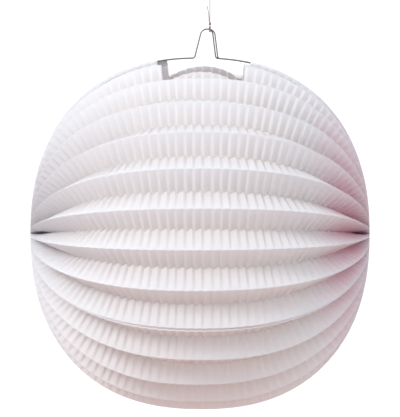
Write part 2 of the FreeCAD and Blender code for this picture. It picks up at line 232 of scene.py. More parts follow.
@dataclass(frozen=True)
class Outline:
    """A superellipse round the ball's middle, from the left pole over the top to the right pole."""

    across: float
    up: float
    roundness: float = 2.3
    samples: int = 8001  # along the ruler

    def at(self, turn: np.ndarray) -> tuple[np.ndarray, np.ndarray, np.ndarray, np.ndarray]:
        """Points of the outline and its outward normals.

        x is minus across times |cos|^(2/n) with the cosine's sign, the distance from the pole axis is
        up times sin^(2/n), and the normal is the gradient of |x/across|^n + |r/up|^n.

        Args:
            turn: from 0 at the left pole to pi at the right pole.

        Returns:
            x, distance from the pole axis, and the normal's two parts in the same order.
        """
        cosine = np.cos(turn)
        side = -np.sign(cosine) * np.abs(cosine) ** (2 / self.roundness)
        height = np.abs(np.sin(turn)) ** (2 / self.roundness)
        steep = self.roundness - 1
        normal_x = np.sign(side) * np.abs(side) ** steep / self.across
        normal_r = height**steep / self.up
        length = np.hypot(normal_x, normal_r)
        return self.across * side, self.up * height, normal_x / length, normal_r / length

    @cached_property
    def ruler(self) -> tuple[np.ndarray, np.ndarray]:
        """Turns and the length along the outline at each of them, finer towards the poles."""
        turn = (1 - np.cos(np.linspace(0, math.pi, self.samples))) * math.pi / 2
        x, r, _, _ = self.at(turn)
        steps = np.hypot(np.diff(x), np.diff(r))
        return turn, np.concatenate([[0.0], np.cumsum(steps)])

    def length_at(self, turn: np.ndarray) -> np.ndarray:
        """Length along the outline from the left pole to each turn."""
        return np.interp(turn, *self.ruler)

    def turn_at(self, length: np.ndarray) -> np.ndarray:
        """The turn at each length along the outline from the left pole."""
        turn, reached = self.ruler
        return np.interp(length, reached, turn)

    def turn_at_side(self, x: np.ndarray) -> np.ndarray:
        """The turn where the outline is at x."""
        share = np.sign(-x) * np.abs(x / self.across) ** (self.roundness / 2)
        return np.arccos(np.clip(share, -1, 1))


@dataclass(frozen=True)
class Crimps:
    """Pressed teeth across the folded stack of paper, so every leaf carries them at the same places."""

    start: float
    finish: float
    pitch: float = 0.0062
    wide_share: float = 0.65
    travel: float = 0.0012  # half of a tooth's height, at the valley folds
    ridge_travel: float = 0.0001
    jitter: float = 0.07  # unevenness of the spacing, as a share of the pitch
    weakest: float = 0.8
    strongest: float = 1.12
    easing: float = 0.1  # how much the corners are rounded off
    flat_radius: float = 0.003  # no teeth nearer to the pole axis than this
    full_radius: float = 0.045  # full teeth from here on
    seed: int = 11

    @cached_property
    def bounds(self) -> np.ndarray:
        """Where each tooth starts along the outline, slightly unevenly spaced."""
        count = round((self.finish - self.start) / self.pitch)
        marks = np.linspace(self.start, self.finish, count + 1)
        drift = np.random.default_rng(self.seed).uniform(-self.jitter, self.jitter, count + 1)
        drift[[0, -1]] = 0
        return marks + drift * self.pitch

    @cached_property
    def strengths(self) -> np.ndarray:
        """How deep the press bit at each mark, as a share of the usual depth."""
        generator = np.random.default_rng(self.seed + 1)
        return generator.uniform(self.weakest, self.strongest, len(self.bounds))

    @cached_property
    def stations(self) -> np.ndarray:
        """Lengths along the outline that sample each tooth at its corners and beside them."""
        corner = self.wide_share
        phases = np.array([0, 0.07, 0.3, corner - 0.07, corner, corner + 0.07, 0.93])
        starts = self.bounds[:-1, None]
        widths = np.diff(self.bounds)[:, None]
        return np.append((starts + phases * widths).ravel(), self.bounds[-1])

    def wave(self, length: np.ndarray) -> np.ndarray:
        """The teeth: a slow fall from 1 to -1 and a quick rise back, with eased corners.

        Args:
            length: places along the outline.

        Returns:
            The wave there, times the tooth's strength.
        """
        tooth = np.clip(np.searchsorted(self.bounds, length, "right") - 1, 0, len(self.bounds) - 2)
        phase = (length - self.bounds[tooth]) / np.diff(self.bounds)[tooth]
        falling = 1 - 2 * phase / self.wide_share
        rising = -1 + 2 * (phase - self.wide_share) / (1 - self.wide_share)
        wave = np.where(phase < self.wide_share, falling, rising)
        return wave * (1 - self.easing * wave**2) * np.interp(length, self.bounds, self.strengths)

    def shift(self, length: np.ndarray, fold: np.ndarray, radius: np.ndarray) -> np.ndarray:
        """How far the paper is pushed round the pole axis.

        Args:
            length: places along the outline.
            fold: 0 on a ridge and 1 in a valley.
            radius: distance from the pole axis, where the teeth die out.

        Returns:
            The push in metres, growing quickly from the ridge as 1 - (1 - fold)^2.
        """
        depth = self.ridge_travel + (self.travel - self.ridge_travel) * (1 - (1 - fold) ** 2)
        return self.wave(length) * depth * smoothstep(self.flat_radius, self.full_radius, radius)


# ---- The paper ball ------------------------------------------------------------------------


@dataclass
class PaperBall:
    """Twenty-eight folds of crimped paper round the pole axis, open at the top for a light."""

    middle: np.ndarray
    paper: bpy.types.Material
    half_width: float = 0.120
    half_height: float = 0.125
    fold_count: int = 28
    leaf_width: float = 0.017
    wall: float = 0.00014
    bore: float = 0.0020  # the leaves stop this far from the pole axis
    wire_radius: float = 0.0005
    wire_drop: float = 0.00077  # the wires' centre line below the paper's top
    wire_half_spacing: float = 0.0009
    wire_insets: Mapping[Side, float] = field(
        default_factory=lambda: {Side.FRONT: 0.0019, Side.BACK: 0.0007}
    )
    notch_ends: Mapping[tuple[Side, End], tuple[float, float]] = field(
        default_factory=lambda: {
            (Side.FRONT, End.LEFT): (0.0305, 0.0050),
            (Side.FRONT, End.RIGHT): (0.0360, 0.0060),
            (Side.BACK, End.LEFT): (0.0235, 0.0010),
            (Side.BACK, End.RIGHT): (0.0360, 0.0060),
        }
    )  # each cut's place at the wire, and how far it comes in at the opening's far edge
    notch_reach: Mapping[Side, float] = field(
        default_factory=lambda: {Side.FRONT: 0.0380, Side.BACK: 0.0366}
    )
    notch_rise: float = 0.0046
    seam_fold: int = 9
    seam_width: float = 0.0024
    seam_end_radius: float = 0.045  # the seam is flat nearer to the pole axis than this
    hem_flap: float = 0.0065
    hem_end_radius: float = 0.006
    lean_gap: float = 0.01  # turn kept free beside a cut, for the columns that lean onto it
    lean_columns: int = 9
    unevenness: float = 0.0006
    seed: int = 4

    def __post_init__(self) -> None:
        """Works out the angles, the three outlines and the crimps."""
        self.first_angle = math.asin(self.wire_half_spacing / self.half_height)
        self.fold_angle = (TAU - 2 * self.first_angle) / self.fold_count
        self.outline = Outline(self.half_width, self.half_height)
        rise = self.half_height - self.wire_drop
        self.rims = {
            side: Outline(self.half_width - inset, rise) for side, inset in self.wire_insets.items()
        }
        _, radius, _, _ = self.outline.at(self.outline.ruler[0])
        first = self.outline.ruler[1][np.searchsorted(radius[: len(radius) // 2], self.bore)]
        self.crimps = Crimps(first, self.outline.ruler[1][-1] - first)
        self.chain = ["front_frame"]
        self.chain += [f"fold_{number:02d}" for number in range(1, self.fold_count)]
        self.chain += ["back_frame"]
        generator = np.random.default_rng(self.seed)
        self.phases = generator.uniform(0, TAU, (self.fold_count + 1, 2, 3))
        # Rows of points down a fold, ridge to valley to ridge, closer at the creases.
        leaf_rows = np.array([0, 0.03, 0.1, 0.22, 0.38, 0.55, 0.72, 0.87, 0.965])
        self.rows = np.concatenate([leaf_rows, [1.0], 2 - leaf_rows[::-1]])

    # -- where the paper is --

    def drift(self, number: int, kind: int, turn: np.ndarray) -> np.ndarray:
        """Slow hand-made unevenness along one crease: three sines with their own phases.

        Args:
            number: which ridge, or the valley after it.
            kind: 0 for a ridge and 1 for a valley.
            turn: places along the outline.

        Returns:
            A distance in metres, nought at the poles.
        """
        phases = self.phases[number, kind]
        waves = sum(np.sin(turn * rate + phase) / rate for rate, phase in zip((2, 4, 7), phases))
        return self.unevenness * (1 + kind) * waves * np.sin(turn) ** 2

    def around(self, x: np.ndarray, radius: np.ndarray, angle: np.ndarray | float) -> np.ndarray:
        """Points at x and a radius from the pole axis, at an angle from the top towards the front."""
        return np.stack([x, -radius * np.sin(angle), radius * np.cos(angle)], axis=-1)

    def ridge(self, number: int, turn: np.ndarray) -> np.ndarray:
        """One ridge line; the first and the last are the centre lines of the wires.

        Args:
            number: from 0 at the front wire to the fold count at the back wire.
            turn: places along the outline.

        Returns:
            Points about the ball's middle.
        """
        if number in (0, self.fold_count):
            side = Side.FRONT if number == 0 else Side.BACK
            x, height, _, _ = self.rims[side].at(turn)
            return np.stack([x, np.full_like(x, side.value * self.wire_half_spacing), height], axis=-1)
        x, radius, normal_x, normal_r = self.outline.at(turn)
        drift = self.drift(number, 0, turn)
        angle = self.first_angle + number * self.fold_angle
        return self.around(x + normal_x * drift, radius + normal_r * drift, angle)

    def valley(self, number: int, turn: np.ndarray) -> np.ndarray:
        """The valley line after a ridge: the leaf keeps its width, so it lies deeper towards the poles.

        Its depth is the root of the leaf's width squared less half of the ridges' distance squared.

        Args:
            number: the ridge before the valley.
            turn: places along the outline.

        Returns:
            Points about the ball's middle.
        """
        x, radius, normal_x, normal_r = self.outline.at(turn)
        spread = radius * self.fold_angle / 2
        depth = np.sqrt(self.leaf_width**2 - spread**2) + self.drift(number, 1, turn)
        angle = self.first_angle + (number + 0.5) * self.fold_angle
        return self.around(x - normal_x * depth, radius - normal_r * depth, angle)

    def pressed(self, points: np.ndarray, turn: np.ndarray, fold: np.ndarray) -> np.ndarray:
        """Points turned a little about the pole axis by the crimps.

        Args:
            points: places about the ball's middle, before the press.
            turn: each point's place along the outline.
            fold: 0 on a ridge and 1 in a valley.

        Returns:
            The points after the press.
        """
        radius = np.hypot(points[..., 1], points[..., 2])
        shift = self.crimps.shift(self.outline.length_at(turn), fold, radius)
        angle = shift / np.maximum(radius, self.bore)
        cosine, sine = np.cos(angle), np.sin(angle)
        y = points[..., 1] * cosine - points[..., 2] * sine
        z = points[..., 2] * cosine + points[..., 1] * sine
        return np.stack([points[..., 0], y, z], axis=-1)

    def sheet_flat(self, number: int, turn: np.ndarray, down: np.ndarray) -> np.ndarray:
        """The paper between one ridge and the next before the press.

        Each leaf is ruled in straight lines from its ridge to the valley between them.

        Args:
            number: the first ridge.
            turn: places along the outline.
            down: 0 on the first ridge, 1 in the valley and 2 on the next ridge.

        Returns:
            Points about the ball's middle.
        """
        valley = self.valley(number, turn)
        share = down[..., None]
        first = self.ridge(number, turn) * (1 - share) + valley * share
        second = valley * (2 - share) + self.ridge(number + 1, turn) * (share - 1)
        return np.where(share < 1, first, second)

    def sheet(self, number: int, turn: np.ndarray, down: np.ndarray) -> np.ndarray:
        """The pressed paper between one ridge and the next, with arguments as for sheet_flat."""
        return self.pressed(self.sheet_flat(number, turn, down), turn, 1 - np.abs(down - 1))

    # -- pieces --

    def bend(self, piece: bpy.types.Object, down: np.ndarray) -> None:
        """Puts a fold's points for a moment on a line along X, by their place across the fold, bakes
        the object's placement into the mesh, and puts the points back.

        Args:
            piece: the fold's mesh, in place.
            down: each point's place from that ridge, 0, to the next, 2.
        """
        places = np.empty(len(piece.data.vertices) * 3, np.float32)
        piece.data.vertices.foreach_get("co", places)
        straight = np.zeros((len(down), 3))
        straight[:, 0] = 0.5 - np.sin(np.arcsin(1 - np.clip(down, 0, 2)) / 3)
        set_points(piece, straight)
        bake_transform(piece)
        set_points(piece, places)

    def fold_piece(
        self, name: str, number: int, turn: np.ndarray, down: np.ndarray, quads: np.ndarray
    ) -> bpy.types.Object:
        """One finished sheet of a fold.

        Args:
            name: the piece's name.
            number: its first ridge.
            turn: each point's place along the outline.
            down: each point's place from the first ridge, 0, to the next, 2.
            quads: the faces.

        Returns:
            The piece.
        """
        points = self.sheet(number, turn, down) + self.middle
        piece = mesh_piece(name, points, quads, self.paper)
        # The fold attribute, 0 on a ridge and 1 in a valley, places the paper's painted valley shade
        # and pink.
        set_values(piece, "fold", 1 - np.abs(down - 1))
        self.bend(piece, down)
        thicken(piece, self.wall)
        return piece

    def cut_turn(self, side: Side, end: End, number: int, down: np.ndarray) -> np.ndarray:
        """Where a fold's rows meet the straight cut at one end of the top opening.

        The cut runs in plan from its place at the wire to a little further in at the opening's far
        edge. Each row's own distance from the wires is read at the cut's place.

        Args:
            side: front or back.
            end: left or right.
            number: the fold's first ridge.
            down: the fold's rows.

        Returns:
            The turn of the cut for each row.
        """
        at_wire, taper = self.notch_ends[side, end]
        turn = np.full_like(down, self.outline.turn_at_side(np.array(end.value * at_wire)))
        for _ in range(4):  # each round steps by what is left over the speed, as Newton's method does
            place = self.sheet_flat(number, turn, down)
            x = end.value * (at_wire - taper * np.abs(place[:, 1]) / self.notch_reach[side])
            turn = turn + (x - place[:, 0]) / self.outline_speed(turn)
        return turn

    def far_corner(self, side: Side, end: End) -> float:
        """How far from the ball's middle, along X, a cut of the opening ends."""
        at_wire, taper = self.notch_ends[side, end]
        return at_wire - taper

    def outline_speed(self, turn: np.ndarray) -> np.ndarray:
        """How fast x grows with the turn along the outline."""
        step = 1e-4
        return (self.outline.at(turn + step)[0] - self.outline.at(turn - step)[0]) / (2 * step)

    def opening_row(self, side: Side, turn: np.ndarray, number: int) -> np.ndarray:
        """How far down its leaf the opening's far edge lies, at each turn.

        In plan that edge is an arc, nearer to the wires in its middle. The leaf's own distance from
        the wires runs nearly straight from its ridge to its valley.

        Args:
            side: front or back.
            turn: places along the outline.
            number: the cut fold's ridge that is nearer to the wires.

        Returns:
            The share of the leaf's width, from the ridge, that is cut away.
        """
        ridge = self.ridge(number, turn)
        valley = self.valley(number if side is Side.FRONT else number - 1, turn)
        left, right = (end.value * self.far_corner(side, end) for end in End)
        half = (right - left) / 2
        off_middle = (ridge[:, 0] - (left + right) / 2) / half
        edge = self.notch_reach[side] - self.notch_rise * (1 - np.clip(off_middle, -1, 1) ** 2)
        near, far = np.abs(ridge[:, 1]), np.abs(valley[:, 1])
        # Never quite at the ridge or the valley, so that no row of faces has no width.
        return np.clip((edge - near) / (far - near), 0.05, 0.9)

    def whole_fold(self, number: int) -> bpy.types.Object:
        """A fold that runs from pole to pole."""
        turn = self.outline.turn_at(self.crimps.stations)
        turns, downs = np.meshgrid(turn, self.rows)
        quads = grid_quads(len(self.rows), len(turn))
        return self.fold_piece(f"paper_fold_{number:02d}", number, turns.ravel(), downs.ravel(), quads)

    def half_grid(
        self, side: Side, end: End, number: int, rows: np.ndarray
    ) -> tuple[np.ndarray, np.ndarray]:
        """Turns and rows of the part of a fold between one pole and the opening's cut.

        The last few columns lean, so that they end on the cut in every row.

        Args:
            side: front or back.
            end: left or right.
            number: the fold's first ridge.
            rows: the rows wanted.

        Returns:
            Two arrays of rows by columns.
        """
        turn = self.outline.turn_at(self.crimps.stations)
        cut = self.cut_turn(side, end, number, rows)
        if end is End.LEFT:
            kept = turn[turn < cut.min() - self.lean_gap]
            last = np.linspace(kept[-1], cut, self.lean_columns + 1, axis=1)[:, 1:]
            turns = np.concatenate([np.broadcast_to(kept, (len(rows), len(kept))), last], axis=1)
        else:
            kept = turn[turn > cut.max() + self.lean_gap]
            last = np.linspace(cut, kept[0], self.lean_columns + 1, axis=1)[:, :-1]
            turns = np.concatenate([last, np.broadcast_to(kept, (len(rows), len(kept)))], axis=1)
        return turns, np.broadcast_to(rows[:, None], turns.shape)

    def split_fold(self, side: Side, end: End) -> bpy.types.Object:
        """The part of the fold beside a wire that is left on one side of the opening."""
        number = 0 if side is Side.FRONT else self.fold_count - 1
        turns, downs = self.half_grid(side, end, number, self.rows)
        quads = grid_quads(*turns.shape)
        name = f"paper_fold_{number:02d}_{end.name.lower()}"
        return self.fold_piece(name, number, turns.ravel(), downs.ravel(), quads)

    def notched_fold(self, side: Side) -> bpy.types.Object:
        """The second fold from a wire, whose nearer leaf is partly cut away by the opening.

        Below the level of the opening's ends the sheet runs from pole to pole, with its rows squeezed
        under the far edge. Above that level there is a sheet beside each pole. They share their points
        along that level, and become one mesh.

        Args:
            side: front or back.

        Returns:
            The piece.
        """
        number = 1 if side is Side.FRONT else self.fold_count - 2
        near_ridge = 1 if side is Side.FRONT else self.fold_count - 1
        flip = side is Side.BACK
        corner_turns = {}
        for end in End:
            at_corner = np.array(end.value * self.far_corner(side, end))
            corner_turns[end] = float(self.outline.turn_at_side(at_corner))
        turn = self.outline.turn_at(self.crimps.stations)
        columns = {end: int(np.argmin(np.abs(turn - corner_turns[end]))) for end in End}
        for end, column in columns.items():
            turn[column] = corner_turns[end]
        level = self.opening_row(side, turn, near_ridge)
        ends_level = level[columns[End.LEFT]]
        level[: columns[End.LEFT]] = ends_level
        level[columns[End.RIGHT] :] = ends_level

        below = np.linspace(0, 0.97, 6)[:, None]
        squeezed = level[None, :] + (1 - level[None, :]) * below
        far_rows = self.rows[self.rows >= 1]
        onward = np.broadcast_to(far_rows[:, None], (len(far_rows), len(turn)))
        downs = [np.concatenate([squeezed, onward])]
        turns = [np.broadcast_to(turn, downs[0].shape)]
        upper_rows = np.concatenate([self.rows[self.rows < ends_level - 0.03], [ends_level]])
        ramp = np.linspace(0, 1, self.lean_columns)[1:]
        for end, column in columns.items():
            piece_turn = turn[: column + 1] if end is End.LEFT else turn[column:]
            cut = self.cut_turn(side, end, number, 2 - upper_rows if flip else upper_rows)
            cut[-1] = corner_turns[end]
            lean = np.zeros(len(piece_turn))
            if end is End.LEFT:
                lean[-len(ramp) :] = ramp
            else:
                lean[: len(ramp)] = ramp[::-1]
            turns.append(piece_turn[None, :] + (cut - corner_turns[end])[:, None] * lean[None, :])
            downs.append(np.broadcast_to(upper_rows[:, None], turns[-1].shape))
        quads, first = [], 0
        for part in turns:
            quads.append(grid_quads(*part.shape) + first)
            first += part.size
        turn_all = np.concatenate([part.ravel() for part in turns])
        down_all = np.concatenate([part.ravel() for part in downs])
        if flip:
            down_all = 2 - down_all
        places = np.round(np.stack([turn_all, down_all], 1), 7)
        _, kept, merged = np.unique(places, axis=0, return_index=True, return_inverse=True)
        faces = merged.reshape(-1)[np.concatenate(quads)]
        if flip:
            faces = faces[:, ::-1]
        name = f"paper_fold_{number:02d}"
        return self.fold_piece(name, number, turn_all[kept], down_all[kept], faces)

    def hem(self, side: Side, end: End) -> bpy.types.Object:
        """The end leaf's edge, folded round the wire and glued down again on the inside.

        Its profile is a loop: up the leaf's hidden face, half-way round the wire, and a short way down
        the outer face. It is carried along the wire, and takes the crimps of the leaf under it.

        Args:
            side: front or back.
            end: left or right.

        Returns:
            The piece.
        """
        number = 0 if side is Side.FRONT else self.fold_count
        valley_number = 0 if side is Side.FRONT else self.fold_count - 1
        # Each row is a place down the leaf from the wire's centre line, and out from the leaf.
        flat = np.array(
            [[self.hem_flap, 0.0002], [0.0055, 0.0002], [0.0040, 0.00022], [0.0026, 0.0003]]
        )
        loose = self.wire_radius + self.wall
        angle = np.linspace(-0.25, math.pi + 0.25, 13)
        loop = np.stack([-np.sin(angle) * loose, np.cos(angle) * loose], axis=-1)
        back = np.array([[0.0014, -0.00040], [0.0024, -0.00022]])
        profile = np.concatenate([flat, [[0.0014, 0.00044]], loop, back])
        turn = self.outline.turn_at(self.crimps.stations)
        _, radius, _, _ = self.outline.at(turn)
        cut = float(self.outline.turn_at_side(np.array(end.value * self.notch_ends[side, end][0])))
        beyond = turn < cut if end is End.LEFT else turn > cut
        turn = turn[beyond & (radius > self.hem_end_radius)]
        turn = np.append(turn, cut) if end is End.LEFT else np.insert(turn, 0, cut)
        wire = self.ridge(number, turn)
        ahead = unit(np.gradient(wire, axis=0))
        down = unit(self.valley(valley_number, turn) - wire)
        inside = np.cross(ahead, down)
        inside *= np.sign(inside[:, 1:2]) * -side.value  # towards the other wire
        points = wire[None] + profile[:, :1, None] * down[None] + profile[:, 1:, None] * inside[None]
        fold = np.broadcast_to(np.clip(profile[:, :1], 0, 1) / self.leaf_width, points.shape[:2])
        turns = np.broadcast_to(turn, points.shape[:2])
        points = self.pressed(points, turns, fold) + self.middle
        name = f"{side.name.lower()}_hem_strip_{end.name.lower()}"
        quads = grid_quads(len(profile), len(turn))
        piece = mesh_piece(name, points.reshape(-1, 3), quads, self.paper)
        set_values(piece, "fold", fold)
        thicken(piece, self.wall)
        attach(piece, f"{side.name.lower()}_frame")
        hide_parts(f"{side.name.lower()}_hem_{end.name.lower()}")
        return piece

    def seam(self, side: Side) -> bpy.types.Object:
        """The glued joint of two sheets: a second, lower fold edge that stands off the leaf.

        Its profile leaves the ridge down the leaf, climbs to an edge as high as the ridge, and falls
        back to the leaf. It is carried along the ridge and dies out towards the poles.

        Args:
            side: front or back.

        Returns:
            The piece.
        """
        in_front = side is Side.FRONT
        number = self.seam_fold if in_front else self.fold_count - self.seam_fold
        fold_number = number if in_front else number - 1
        turn = self.outline.turn_at(self.crimps.stations)
        _, radius, _, _ = self.outline.at(turn)
        turn = turn[radius > self.seam_end_radius]
        fade = np.sin(turn) ** 2
        # Along the leaf from the ridge, and out from the leaf, as shares of the seam's width.
        lip = [[0.60, 0.04], [0.66, 0.40], [0.74, 0.60], [0.84, 0.66]]
        slope = [[1.05, 0.58], [1.5, 0.25], [1.95, 0.04]]
        profile = np.array(lip + slope)
        ridge = self.ridge(number, turn)
        along = unit(self.valley(fold_number, turn) - ridge)
        ahead = unit(np.gradient(ridge, axis=0))
        out = np.cross(along, ahead)
        out *= np.sign(np.sum(out * ridge, axis=1, keepdims=True))
        scale = self.seam_width * fade
        points = ridge[None] + (profile[:, :1] * scale)[..., None] * along[None]
        points = points + (profile[:, 1:] * scale)[..., None] * out[None]
        fold = np.broadcast_to(profile[:, :1] * scale / self.leaf_width, points.shape[:2])
        points = self.pressed(points, np.broadcast_to(turn, points.shape[:2]), fold) + self.middle
        quads = grid_quads(len(profile), len(turn))
        name = f"sheet_seam_{side.name.lower()}"
        piece = mesh_piece(name, points.reshape(-1, 3), quads, self.paper)
        set_values(piece, "fold", fold)
        thicken(piece, self.wall)
        down = fold if in_front else 2 - fold
        self.bend(piece, down.ravel())
        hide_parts(f"seam_{side.name.lower()}")
        return piece

    def build(self) -> list[bpy.types.Object]:
        """Makes every sheet of the ball.

        Returns:
            The pieces.
        """
        made = []
        last = self.fold_count - 1
        for number in range(1, last):
            if number in (1, last - 1):
                piece = self.notched_fold(Side.FRONT if number == 1 else Side.BACK)
            else:
                piece = self.whole_fold(number)
            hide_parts(f"pleat_{number:02d}")
            made.append(piece)
        for side in Side:
            for end in End:
                piece = self.split_fold(side, end)
                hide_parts(f"{side.name.lower()}_leaf_{end.name.lower()}")
                if (side, end) == (Side.BACK, End.LEFT):
                    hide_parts(f"pleat_{last:02d}")
                made += [piece, self.hem(side, end)]
            made.append(self.seam(side))
        return made


@dataclass
class PoleGather:
    """The leaf ends at one pole, gathered and glued round the pin."""

    middle: np.ndarray
    end: End
    paper: bpy.types.Material
    half_width: float = 0.120
    leaf_width: float = 0.017
    outer_gap: float = 0.0029
    bore: float = 0.00063
    radius: float = 0.0021
    flute: float = 0.0004
    flutes: int = 28
    flute_samples: int = 8
    lip: float = 0.001  # the collar's end faces reach this radius before they round over
    rings: int = 9

    def build(self) -> bpy.types.Object:
        """A fluted collar: a ring profile turned about the pole axis, its radius waved once a pleat.

        Returns:
            The piece.
        """
        inner = self.half_width - self.leaf_width
        outer = self.half_width - self.outer_gap
        x = np.concatenate([[inner, inner], np.linspace(inner, outer, self.rings), [outer, outer]])
        wall = np.full(self.rings, self.radius)
        base = np.concatenate([[self.bore, self.lip], wall, [self.lip, self.bore]])
        around = self.flutes * self.flute_samples
        angle = np.arange(around) * TAU / around
        wave = self.flute * (np.abs(np.cos(angle * self.flutes / 2)) - 0.6)
        fluted = base[:, None] + (base > self.lip)[:, None] * wave[None, :]
        across = np.broadcast_to(x[:, None], fluted.shape) * self.end.value
        points = np.stack([across, fluted * np.sin(angle), fluted * np.cos(angle)], axis=-1)
        quads = grid_quads(*fluted.shape, round_rows=True, round_columns=True)
        if self.end is End.RIGHT:
            quads = quads[:, ::-1]
        name = self.end.name.lower()
        points = points.reshape(-1, 3) + self.middle
        piece = mesh_piece(f"pole_gather_{name}", points, quads, self.paper)
        # The whole collar counts as valley, so it takes the painted valley shade, and the painted pink
        # at the right pole.
        set_values(piece, "fold", np.ones(fluted.size))
        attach(piece, "front_frame")
        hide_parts(f"pole_hub_{name}")
        return piece


# ---- The hanging thread --------------------------------------------------------------------


@dataclass
class HangingThread:
    """Cotton thread: a loop at the top, a knot, the taut run, and a knot on the wire hooks."""

    cotton: bpy.types.Material
    diameter: float = 0.0006
    plies: int = 3
    lay: float = 0.0022  # length in which the plies turn once
    step: float = 0.00016
    loop_knot_top: float = -0.0095
    knot_height: float = 0.0022
    knot_diameter: float = 0.0020
    run: float = 0.024
    wrap_radius: float = 0.0018
    wrap_turns: int = 2
    ply_offset: float = 0.54  # a ply's centre and its own radius, as shares of the thread's radius
    ply_radius: float = 0.46
    ply_sides: int = 8
    knot_samples: int = 121
    turn_samples: int = 40

    @property
    def top(self) -> float:
        """Height of the taut run's top, under the loop's knot."""
        return self.loop_knot_top - self.knot_height

    @property
    def bottom(self) -> float:
        """Height of the taut run's bottom, above the knot on the hooks."""
        return self.top - self.run

    def route(self) -> list[tuple[float, float, float]]:
        """The thread's way from the hooks' knot up the taut run and round the loop."""
        loop = [(0.00045, -0.0095), (0.00045, -0.0072), (0.0030, -0.0036), (0.0023, 0.0003)]
        loop += [(-x, z) for x, z in reversed(loop)]
        straight = [(0, 0, self.bottom), (0, 0, self.top - 0.0022), (0, 0, self.top)]
        return straight + [(x, 0, z) for x, z in loop]

    def tail_route(self) -> list[tuple[float, float, float]]:
        """The cut tail's way up beside the taut run."""
        points = [(-0.0006, 0, 0), (-0.0006, 0, 0.0026)]
        points += [(-0.0010, -0.0004, 0.0070), (-0.0019, -0.0005, 0.0115)]
        return [(x, y, z + self.bottom) for x, y, z in points]

    def smooth_line(self, name: str, route: Sequence[tuple[float, float, float]]) -> np.ndarray:
        """Even points along the NURBS spline whose control points are a route.

        Args:
            name: a name for the spline's short-lived curve.
            route: the control points.

        Returns:
            One row of x, y, z for each point, about a step apart.
        """
        curve = bpy.data.curves.new(name, "CURVE")
        curve.dimensions = "3D"
        curve.resolution_u = 24
        spline = curve.splines.new("NURBS")
        spline.points.add(len(route) - 1)
        for point, place in zip(spline.points, route):
            point.co = (*place, 1)
        spline.order_u = 3
        spline.use_endpoint_u = True
        carrier = bpy.data.objects.new(name, curve)
        bpy.context.scene.collection.objects.link(carrier)
        bpy.context.view_layer.update()
        mesh = bpy.data.meshes.new_from_object(carrier)
        line = np.empty(len(mesh.vertices) * 3)
        mesh.vertices.foreach_get("co", line)
        line = line.reshape(-1, 3)
        bpy.data.objects.remove(carrier)
        bpy.data.curves.remove(curve)
        bpy.data.meshes.remove(mesh)
        reached = length_along(line)
        wanted = np.linspace(0, reached[-1], max(8, round(reached[-1] / self.step)))
        return np.stack([np.interp(wanted, reached, line[:, axis]) for axis in range(3)], axis=-1)

    def twisted(
        self, name: str, line: np.ndarray, upright: Sequence[float], closed: bool = False
    ) -> bpy.types.Object:
        """Plies wound round a line as helices, each a closed tube.

        Each ply's centre goes round the line at the ply offset, once in every lay.

        Args:
            name: the piece's name.
            line: the thread's centre line.
            upright: a direction that the line never takes.
            closed: whether the line ends where it starts.

        Returns:
            The piece.
        """
        radius = self.diameter / 2
        reached = length_along(line)
        turns = reached / self.lay
        if closed:
            turns *= max(1, round(turns[-1])) / turns[-1]
        first, second = ring_axes(line, upright)
        sides = self.ply_sides
        points, quads, count = [], [], 0
        for ply in range(self.plies):
            angle = TAU * (turns + ply / self.plies)[:, None]
            centre = line + self.ply_offset * radius * (first * np.cos(angle) + second * np.sin(angle))
            tube = tube_points(centre, self.ply_radius * radius, sides, upright)
            if not closed:
                caps = np.broadcast_to(centre[[0, -1], None], (2, sides, 3))
                tube = np.concatenate([caps[:1], tube, caps[1:]])
            points.append(tube.reshape(-1, 3))
            quads.append(grid_quads(len(tube), sides, round_rows=closed, round_columns=True) + count)
            count += len(points[-1])
        piece = mesh_piece(name, np.concatenate(points), np.concatenate(quads), self.cotton)
        return piece

    def knot_line(self, bottom: float) -> np.ndarray:
        """A trefoil, squeezed to the knot's width and height.

        x is sin t + 2 sin 2t, y is cos t - 2 cos 2t and z is sin 3t, each scaled.
        """
        t = np.linspace(0, TAU, self.knot_samples)
        wide = (self.knot_diameter - self.diameter) / 2 / 3  # before scaling the trefoil reaches 3
        tall = (self.knot_height - self.diameter) / 2
        x = (np.sin(t) + 2 * np.sin(2 * t)) * wide
        y = (np.cos(t) - 2 * np.cos(2 * t)) * wide
        z = np.sin(3 * t) * tall + bottom + self.knot_height / 2
        return np.stack([x, y, z], axis=-1)

    def wrap_line(self, level: float) -> np.ndarray:
        """Turns of thread round both hook crowns: a helix about the X direction."""
        angle = np.linspace(0, TAU * self.wrap_turns, self.turn_samples * self.wrap_turns)
        x = (angle / TAU - self.wrap_turns / 2) * self.diameter
        y = np.sin(angle) * self.wrap_radius
        return np.stack([x, y, level + np.cos(angle) * self.wrap_radius], axis=-1)

    def build(self) -> list[bpy.types.Object]:
        """Makes the thread, its tail, both knots and the turns round the hooks.

        Returns:
            The pieces.
        """
        low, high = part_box("hook_wrap")
        level = (low.z + high.z) / 2
        line = self.smooth_line("thread_route", self.route())
        tail_line = self.smooth_line("tail_route", self.tail_route())
        thread = self.twisted("cotton_thread", line, (0, 1, 0))
        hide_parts("thread", "thread_loop")
        tail = self.twisted("cotton_tail", tail_line, (0, 1, 0))
        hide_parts("thread_tail")
        loop_knot = self.twisted("cotton_loop_knot", self.knot_line(self.top), (0, 0, 1))
        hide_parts("loop_knot")
        hook_line = self.knot_line(self.bottom - self.knot_height)
        hook_knot = self.twisted("cotton_hook_knot", hook_line, (0, 0, 1))
        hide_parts("hook_knot")
        wrap = self.twisted("cotton_hook_turns", self.wrap_line(level), (1, 0, 0))
        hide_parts("hook_wrap")
        made = [thread, tail, loop_knot, hook_knot, wrap]
        for piece in made:
            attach(piece, "hanging_thread")
        return made


# ---- Finishes ------------------------------------------------------------------------------


def linear(colour: str) -> tuple[float, float, float, float]:
    """Turns an sRGB hex colour such as F4F2F0 into linear red, green, blue and alpha."""
    shares = [int(colour[place : place + 2], 16) / 255 for place in (0, 2, 4)]
    light = [s / 12.92 if s <= 0.04045 else ((s + 0.055) / 1.055) ** 2.4 for s in shares]
    return (*light, 1.0)


